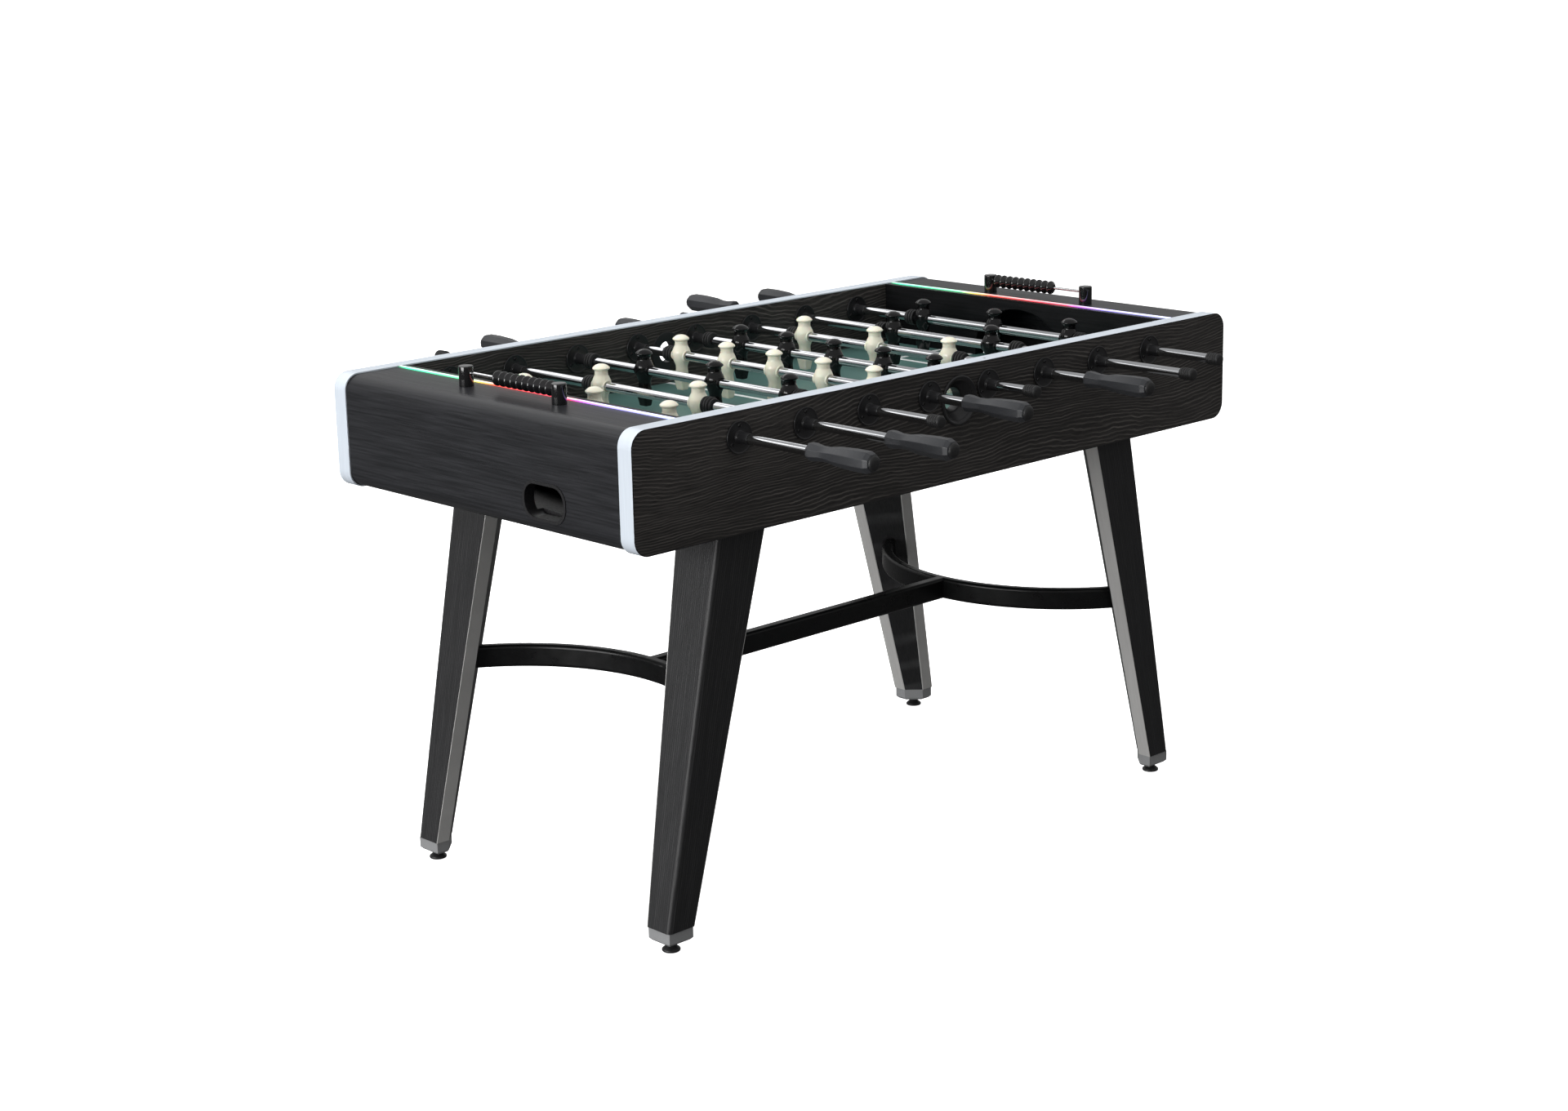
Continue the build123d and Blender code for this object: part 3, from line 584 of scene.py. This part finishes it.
def grip_body():
    """The faceted part of a grip, from z 0."""
    stations = (
        (0, 10.8), (1.4, 13.2), (3.2, 14.5), (12.0, 14.4), (27.0, 12.1), (41.0, 12.2),
        (60.0, 15.4), (96.0, 17.3), (122.0, 17.3), (124.0, 17.0), (131.4, 14.2), (132.4, 12.4),
    )
    return skin([soft_polygon(z, r, sides=8, bevel=0.7) for z, r in stations])


def grip_dome():
    """The round domed end of a grip."""
    profile = [
        (0, 129.0), (11.6, 129.0), (11.6, 133.4), (10.9, 135.0), (9.2, 136.5), (5.6, 137.6),
        (0, GRIP_LENGTH),
    ]
    return lathe(soften(profile, 0.6), 40)


def cap_body():
    """The ribbed cap on the rod's other end."""
    profile = [(ROD_HOLE_R, 0.0), (9.6, 0.0)]
    for i in range(CAP_RIBS):
        z = 2.0 + 4.6 * i
        profile += [(9.6, z), (10.55, z + 0.9), (10.55, z + 2.9), (9.6, z + 3.8)]
    profile += [(10.3, 21.0), (10.4, 23.6), (9.4, 25.6), (7.4, 26.7), (4.0, CAP_LENGTH), (0, CAP_LENGTH)]
    return lathe(soften(profile, 0.5, steps=2), 32)


def bearing_flange(reach):
    """A bearing's flange and sleeve, standing on a panel at z 0."""
    profile = [
        (8.15, -12.0), (10.4, -12.0), (10.4, 0.0), (FLANGE_R - 0.1, 0.0),
        (FLANGE_R - 0.1, FLANGE_THICKNESS),
        (FLANGE_R - 0.8, 3.0), (FLANGE_R - 2.0, 3.0), (FLANGE_R - 2.9, FLANGE_THICKNESS),
        (11.0, FLANGE_THICKNESS), (10.2, 2.7), (10.0, 4.6), (9.5, 5.4),
        (9.4, reach - 8.0), (9.0, reach - 1.4), (8.7, reach), (8.15, reach),
    ]
    return lathe(soften(profile, 0.5, closed=True, steps=2), 56, ring=True)


def pan_head(radius, height):
    """A pan-head screw with a cross recess, standing on z 0."""
    dome = [(radius, 0.0), (radius, height * 0.35), (radius * 0.9, height * 0.75), (radius * 0.7, height)]
    arm, half = radius * 0.58, radius * 0.13
    quarter = ((half, -half), (arm * 0.7, -half), (arm, -half * 0.6), (arm, half * 0.6), (arm * 0.7, half))
    cross = []
    for turn in range(4):
        c, s = cos(turn * pi / 2), sin(turn * pi / 2)
        cross += [(x * c - y * s, x * s + y * c) for x, y in quarter]
    count = len(cross)
    rings = [circle(r, z, count) for r, z in dome]
    turned = [[ring[(j - 2) % count] for j in range(count)] for ring in rings]
    turned.append([(x, y, height) for x, y in cross])
    turned.append([(x * 0.7, y * 0.7, height * 0.25) for x, y in cross])
    return skin(turned)


def cup_dish():
    """A ball-entry cup, standing on a panel at z 0."""
    low, high = node_box("ball_entry_cups")
    rim = (high.z - low.z) / 2
    inward = [
        (0.0, 0.0), (0.0, 1.6), (0.8, 2.9), (2.4, 3.4), (4.4, 2.6), (8.4, -0.8), (12.5, -5.2), (17.0, -9.6),
        (20.6, -12.4), (22.2, -14.6), (22.5, -32.6), (6.0, -32.6), (5.2, -32.0), (5.2, -31.1),
        (19.5, -31.1), (19.2, -15.6), (12.0, -10.2), (8.6, -6.0), (8.4, 0.0),
    ]
    profile = [(rim - inset, z) for inset, z in inward]
    return lathe(soften(profile, 0.9, closed=True), 64, ring=True)


def score_post(height):
    """A score post, standing on z 0."""
    profile = [
        (0, 0), (POST_R, 0), (POST_R, height - 1.6), (POST_R - 0.7, height - 0.4), (POST_R - 2.2, height),
        (0, height),
    ]
    return lathe(soften(profile, 0.8), 48)


def bead():
    """A scoring bead about Z, centred on z 0: two cones with a rounded waistline."""
    profile = [
        (2.65, -7.25), (5.6, -7.25), (6.6, -6.6), (9.6, -3.6), (12.0, -1.7), (12.5, 0.0),
        (12.0, 1.7), (9.6, 3.6), (6.6, 6.6), (5.6, 7.25), (2.65, 7.25),
    ]
    return lathe(soften(profile, 0.8, closed=True), 36, ring=True)


def leveller_piece(top):
    """A screw foot from the floor up: round pad, lock nut and threaded stem."""
    pad_r, stem_r, thread_depth, pitch = 15.0, 3.9, 0.55, 1.25
    pad = [
        (0, 0), (pad_r - 1.2, 0), (pad_r, 1.2), (pad_r, 3.8), (pad_r - 2.0, 5.6), (9.0, 9.0), (8.4, 10.0),
        (0, 10.0),
    ]
    nut = ((9.6, 7.9), (10.1, 8.4), (14.8, 8.4), (15.3, 7.9))
    thread = []
    z = 14.0
    while z < top:
        thread += [(stem_r, z), (stem_r - thread_depth, z + pitch / 2)]
        z += pitch
    shell = Shell().add(lathe(soften(pad, 0.7), 44))
    shell.add(skin([soft_polygon(z, r, sides=6, bevel=0.7) for z, r in nut]))
    shell.add(lathe(thread, 24))
    return shell


def man_places(number):
    """The X of a rod, and the Y of each of its men."""
    low, high = node_box(f"rod_{number}_men")
    count = MEN_ON_ROD[number - 1]
    first, last = low.y + MAN_HALF, high.y - MAN_HALF
    return (low.x + high.x) / 2, [first + (last - first) * i / (count - 1) for i in range(count)]


def build_rods():
    """The men, bumpers, grips and end caps of the eight rods."""
    figure, ring, rubber = man_body(), hub(), bumper_ring()
    handle, dome, cap = grip_body(), grip_dome(), cap_body()
    for number, side in enumerate(GRIP_SIDE, start=1):
        rod = f"rod_{number}"
        x, places = man_places(number)
        men, bumpers, grips, ends = Shell(), Shell(), Shell(), Shell()
        for y in places:
            men.add(figure, Matrix.Translation((x, y, ROD_Z)))
            men.add(ring, facing(x, y, ROD_Z, 1))
        men.piece(f"{rod}_figures", SLOT_OF[f"{rod}_men"], rod, [f"{rod}_men"])

        low, high = node_box(f"{rod}_men")
        centre = (low.y + high.y) / 2
        start = side * GRIP_START[len(places)]
        grips.add(handle, facing(x, centre + start, ROD_Z, side))
        ends.add(dome, facing(x, centre + start, ROD_Z, side))
        ends.add(cap, facing(x, centre - start, ROD_Z, -side))
        grips.piece(f"{rod}_handle", "black_grip", rod, [f"{rod}_grip"], sharp=9)
        ends.piece(f"{rod}_end_caps", "black_rubber", rod)

        low, high = node_box(f"{rod}_bumpers")
        bumpers.add(rubber, facing(x, low.y + BUMPER_LENGTH, ROD_Z, -1))
        if high.y - low.y > 2 * BUMPER_LENGTH:
            bumpers.add(rubber, facing(x, high.y - BUMPER_LENGTH, ROD_Z, 1))
        carrier = next(n for n in frame["bodies"] if n.startswith(f"{rod}_bumper"))
        bumpers.piece(f"{rod}_bumper_rings", "black_rubber", carrier, [f"{rod}_bumpers"])


def rod_places():
    """Each rod's X."""
    boxes = [node_box(f"rod_{number}_shaft") for number in range(1, 9)]
    return [(low.x + high.x) / 2 for low, high in boxes]


def build_bearings():
    """Flanges and screws of the bearings on both faces of both side panels."""
    outer, inner = bearing_flange(SLEEVE_OUTSIDE), bearing_flange(SLEEVE_INSIDE)
    head = pan_head(3.2, 1.7)
    flanges, screws = Shell(), Shell()
    for x in rod_places():
        for side in (-1, 1):
            for face, away, flange in ((OUTER_Y, side, outer), (INNER_Y, -side, inner)):
                flanges.add(flange, facing(x, side * face, ROD_Z, away))
                for k, degrees in enumerate((90, 210, 330)):
                    a = radians(degrees)
                    spot = facing(
                        x + FLANGE_SCREW_RING * cos(a), side * face + away * FLANGE_THICKNESS,
                        ROD_Z + FLANGE_SCREW_RING * sin(a), away,
                    )
                    driven = Matrix.Rotation(0.7 * k + x * 0.01, 4, "Z")
                    screws.add(head, spot @ driven)
    flanges.piece("bearing_flanges", "black_moulded", stands_for=["rod_bearings"])
    screws.piece("flange_screws", "black_screw", stands_for=["bearing_screws"])


def build_parked_bumpers():
    """The loose bumpers that rest against a far bearing."""
    low, _ = node_box("parked_bumpers")
    shell = Shell()
    for number in PARKED_RODS:
        shell.add(bumper_ring(), facing(rod_places()[number - 1], low.y, ROD_Z, 1))
    shell.piece("loose_bumper_rings", "black_rubber", stands_for=["parked_bumpers"])


def build_cups():
    """The two cups that a ball is served through."""
    low, high = node_box("ball_entry_cups")
    x, z = (low.x + high.x) / 2, (low.z + high.z) / 2
    shell = Shell()
    for side in (-1, 1):
        shell.add(cup_dish(), facing(x, side * OUTER_Y, z, side))
    shell.piece("serving_cups", "black_moulded", stands_for=["ball_entry_cups"])


def build_counters():
    """Score posts and beads on both aprons."""
    low, high = node_box("scorer_posts")
    post = score_post(high.z - low.z)
    posts = Shell()
    for x in (low.x + POST_R, high.x - POST_R):
        for y in (low.y + POST_R, high.y - POST_R):
            posts.add(post, Matrix.Translation((x, y, low.z)))
    posts.piece("score_posts", "black_gloss", stands_for=["scorer_posts"])
    for side in ("left", "right"):
        low, high = node_box(f"{side}_score_beads")
        x, z = (low.x + high.x) / 2, (low.z + high.z) / 2
        beads = Shell()
        for i in range(BEADS):
            beads.add(bead(), facing(x, low.y + BEAD_STEP * (i + 0.5), z, 1))
        beads.piece(f"{side}_beads", "black_gloss", f"{side}_score_stack", [f"{side}_score_beads"])


def build_levellers():
    """The four screw feet."""
    for end in ("near", "far"):
        for side in ("left", "right"):
            node = f"{end}_{side}_leveller"
            low, high = node_box(node)
            made = leveller_piece(high.z - 1)
            place = Matrix.Translation(((low.x + high.x) / 2, (low.y + high.y) / 2, 0))
            shell = Shell().add((made.points, made.faces), place)
            shell.piece(f"{node}_foot", "black_leveller", f"{end}_{side}_foot", [node])


def build_markings():
    """The printed white lines of the pitch, a film on the playing surface."""
    half_width, bevel = LINE_WIDTH / 2, 0.06
    z = (FIELD_TOP - 0.05, FIELD_TOP + 0.18)
    reach = INNER_Y - 1.0
    shell = Shell().add(strip((-half_width, half_width), (-reach, reach), z, bevel))
    for side in (-1, 1):
        for front, half in GOAL_BOXES:
            inner, outer = front - half_width, front + half_width
            ends = (-half - half_width, half + half_width)
            shell.add(strip(sorted((side * inner, side * outer)), ends, z, bevel))
            for edge in (-half, half):
                sides = (edge - half_width, edge + half_width)
                shell.add(strip(sorted((side * outer, side * GOAL_WALL_X)), sides, z, bevel))
    shell.piece("pitch_lines", "white_line")


def build_pins():
    """Roll pins that fix the men to the rods."""
    profile = [(0.6, -0.6), (1.5, -0.6), (1.5, 0.25), (1.2, 0.45), (0.6, 0.35)]
    pin = lathe(profile, 20, ring=True)
    along, above = PIN_DROP
    for number in range(1, 9):
        x, places = man_places(number)
        pins = Shell()
        for y in places:
            pins.add(pin, Matrix.Translation((x, y + along, ROD_Z + above)))
        pins.piece(f"rod_{number}_pins", "black_screw", f"rod_{number}")


def build_top_screw():
    """The small cross-head screw in the near panel's top edge."""
    shell = Shell().add(pan_head(2.6, 0.9), Matrix.Translation((77.5, -366.0, TABLE_TOP)))
    shell.piece("top_edge_screw", "zinc_bolt")


def dress_nodes():
    """Give every CAD node its material."""
    for name, obj in NODES.items():
        obj.data.materials.clear()
        # The goal walls take the darker copy of the apron laminate, which is painted shade.
        obj.data.materials.append(MATERIALS["goal_wall" if name == "goal_walls" else SLOT_OF[name]])


# ---- stage --------------------------------------------------------------------------------------
def build_studio():
    """A plain white floor that reaches beyond the view, inside a round white wall."""
    half, turns = 60.0, 64
    finish = Finish("studio_floor", Roughness=0.9, Emission_Strength=1.0)
    cloud = finish.noise(finish.place, 2.0, 2.0)
    finish.color(finish.ramp(cloud, [(0.3, (0.78, 0.78, 0.78)), (0.7, (0.82, 0.82, 0.82))]))
    finish.feed(finish.shader.inputs["Emission Color"], (1.0, 1.0, 1.0, 1.0))
    corners = [(-half, -half, 0), (half, -half, 0), (half, half, 0), (-half, half, 0)]
    low = circle(half, 0, turns)
    high = circle(half, half, turns)
    around = [(i, (i + 1) % turns, turns + (i + 1) % turns, turns + i) for i in range(turns)]
    for name, points, faces in (("floor", corners, [(0, 1, 2, 3)]), ("backdrop", low + high, around)):
        mesh = bpy.data.meshes.new(name)
        mesh.from_pydata(points, [], faces)
        mesh.materials.append(finish.material)
        stage = bpy.data.objects.new(name, mesh)
        stage.visible_diffuse = False
        stage.visible_glossy = False
        stage.visible_shadow = name == "floor"
        bpy.context.scene.collection.objects.link(stage)


def soft_light(name, place, aim, size, power, mirrored=True):
    """A rectangular studio light."""
    data = bpy.data.lights.new(name, "AREA")
    data.shape = "RECTANGLE"
    data.size, data.size_y = size
    data.energy = power
    lamp = bpy.data.objects.new(name, data)
    lamp.location = place
    lamp.rotation_euler = (Vector(aim) - Vector(place)).to_track_quat("-Z", "Y").to_euler()
    lamp.visible_camera = False
    lamp.visible_glossy = mirrored
    bpy.context.scene.collection.objects.link(lamp)


def build_lights():
    world = bpy.data.worlds.new("studio")
    world.use_nodes = True
    tree = world.node_tree
    height = tree.nodes.new("ShaderNodeSeparateXYZ")
    tree.links.new(tree.nodes.new("ShaderNodeTexCoord").outputs["Generated"], height.inputs[0])
    sky = tree.nodes.new("ShaderNodeMapRange")
    for socket, value in (("From Min", -0.10), ("From Max", 0.16), ("To Min", 0.10), ("To Max", 0.47)):
        sky.inputs[socket].default_value = value
    tree.links.new(height.outputs["Z"], sky.inputs["Value"])
    tree.links.new(sky.outputs["Result"], tree.nodes["Background"].inputs["Strength"])
    tree.nodes["Background"].inputs["Color"].default_value = (1.0, 1.0, 1.0, 1.0)
    bpy.context.scene.world = world
    soft_light("key_left", (-6.6, 0.4, 1.5), (0, 0, 0.5), (5.0, 3.0), 400)
    soft_light("top", (0.0, 0.2, 4.2), (0, 0, 0.8), (4.4, 3.6), 98, mirrored=False)
    soft_light("rear_bank", (-0.4, 3.6, 3.7), (0, 0, 0.85), (6.0, 1.0), 30)
    soft_light("right_rear", (4.2, 3.4, 2.4), (0, 0, 0.7), (3.0, 2.4), 55, mirrored=False)


def build_camera():
    """The photograph's viewpoint."""
    yaw, pitch, roll = 0.7592, 0.2485, -0.0221
    forward = Vector((sin(yaw) * cos(pitch), cos(yaw) * cos(pitch), -sin(pitch)))
    level = Vector((cos(yaw), -sin(yaw), 0))
    upward = level.cross(forward)
    right = level * cos(roll) + upward * sin(roll)
    above = upward * cos(roll) - level * sin(roll)
    data = bpy.data.cameras.new("camera")
    data.sensor_width = 36.0
    data.lens = 62.25
    camera = bpy.data.objects.new("camera", data)
    turn = Matrix((right, above, -forward)).transposed()
    camera.matrix_world = Matrix.Translation((-3.23913, -3.36576, 1.66765)) @ turn.to_4x4()
    bpy.context.scene.collection.objects.link(camera)
    bpy.context.scene.camera = camera


dress_nodes()
build_rods()
build_bearings()
build_parked_bumpers()
build_cups()
build_counters()
build_levellers()
build_markings()
build_pins()
build_top_screw()
build_studio()
build_lights()
build_camera()
bpy.context.scene.view_settings.view_transform = "Standard"
